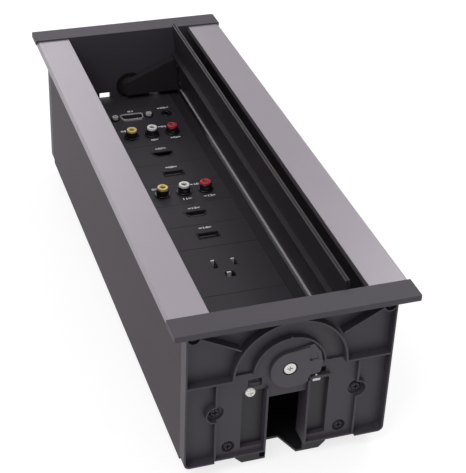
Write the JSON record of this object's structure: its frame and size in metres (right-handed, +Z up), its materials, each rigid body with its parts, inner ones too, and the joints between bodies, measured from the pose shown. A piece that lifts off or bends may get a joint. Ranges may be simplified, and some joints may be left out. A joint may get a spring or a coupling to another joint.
{
  "type": "table connection box",
  "caption": "Flush-mounted table connection box with satin rails, a hinged lid shown open, and a sunken row of power, video, audio and data sockets.",
  "frame": {"origin": "middle of the module tray's underside, under the middle of the box", "axes": "+Z up, +Y along the box from the near end plate to the far one, +X to the right, where the open lid stands"},
  "size_m": [0.1368, 0.372, 0.114],
  "materials": {
    "end_plastic": "moulded black plastic with a fine grain",
    "satin_rail": "satin anodised",
    "wall_paint": "dark grey powder coat",
    "tray_paint": "black powder coat",
    "module_plastic": "fine grained black",
    "black_screw": "blackened steel",
    "plated_steel": "plated",
    "dark_shell": "blackened steel",
    "bush_plastic": "smooth",
    "spring_steel": "darkened",
    "white_plastic": "moulded",
    "yellow_plastic": "moulded",
    "red_plastic": "moulded",
    "black_gloss": "moulded",
    "contact_metal": "turned",
    "lid_paint": "black powder coat",
    "cam_plastic": "moulded",
    "seal_rubber": "matt",
    "trim_metal": "bright",
    "bright_screw": "nickel plated"
  },
  "bodies": {
    "base": {"audio_jack": "black_gloss", "clamp_screws": "plated_steel", "data_shells": "dark_shell", "data_tongues": "black_gloss", "detent_spring": "spring_steel", "display_shells": "dark_shell", "display_tongues": "black_gloss", "far_blank_plate": "module_plastic", "far_data_plate": "module_plastic", "far_display_plate": "module_plastic", "far_end_plate": "end_plastic", "far_phono_plate": "module_plastic", "far_pivot_bush": "bush_plastic", "left_rail": "satin_rail", "left_side_wall": "wall_paint", "module_tray": "tray_paint", "near_blank_plate": "module_plastic", "near_data_plate": "module_plastic", "near_display_plate": "module_plastic", "near_end_plate": "end_plastic", "near_phono_plate": "module_plastic", "near_pivot_bush": "bush_plastic", "phono_barrels": "black_gloss", "phono_bases": "black_gloss", "phono_contacts": "contact_metal", "phono_red_caps": "red_plastic", "phono_white_caps": "white_plastic", "phono_yellow_caps": "yellow_plastic", "power_contacts": "plated_steel", "power_housing": "black_gloss", "power_plate": "module_plastic", "rail_screws": "black_screw", "right_rail": "satin_rail", "right_side_wall": "wall_paint", "stop_buffers": "white_plastic", "tray_screws": "black_screw", "video_audio_plate": "module_plastic", "video_insert": "black_gloss", "video_posts": "plated_steel", "video_shell": "plated_steel", "video_washers": "black_screw", "wall_screws": "black_screw"},
    "lid": {"lid_panel": "lid_paint", "lid_edge_seal": "seal_rubber", "lid_trim": "trim_metal", "near_lid_arm": "lid_paint", "far_lid_arm": "lid_paint", "near_cam_plate": "cam_plastic", "far_cam_plate": "cam_plastic", "pivot_screws": "bright_screw", "pivot_washers": "seal_rubber", "arm_screws": "black_screw"}
  },
  "joints": [
    {"name": "lid_hinge", "type": "hinge", "parent": "base", "child": "lid", "pos_m": [0, 0, 0.067], "axis": [0, 1, 0], "range_deg": [-82, 0]}
  ]
}
